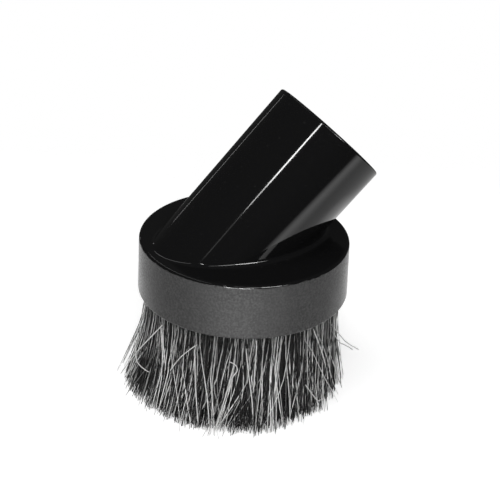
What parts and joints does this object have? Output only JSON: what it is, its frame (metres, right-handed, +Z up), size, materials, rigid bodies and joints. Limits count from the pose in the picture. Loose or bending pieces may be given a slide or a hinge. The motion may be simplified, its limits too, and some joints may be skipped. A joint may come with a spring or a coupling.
{
  "type": "vacuum dusting brush",
  "caption": "Round dusting brush for a vacuum cleaner: black cap with a skirt, an angled tube that takes the wand, and a dense ring of natural hair.",
  "frame": {"origin": "on the surface that the hair tips stand on, under the middle of the brush's footprint", "axes": "+Z up, away from the hair; +X the way the tube leans; +Y across the tube"},
  "size_m": [0.0742, 0.0666, 0.0887],
  "materials": {
    "housing_plastic": "moulded, gloss on the tube and cap, finely grained skirt",
    "channel_steel": "zinc plated strip",
    "wire_steel": "drawn wire",
    "natural_hair": "mixed dark and grey horsehair, slightly wavy"
  },
  "bodies": {
    "root": {"housing": "housing_plastic", "brush_channel": "channel_steel", "core_wire": "wire_steel", "bristles": "natural_hair"}
  },
  "joints": []
}
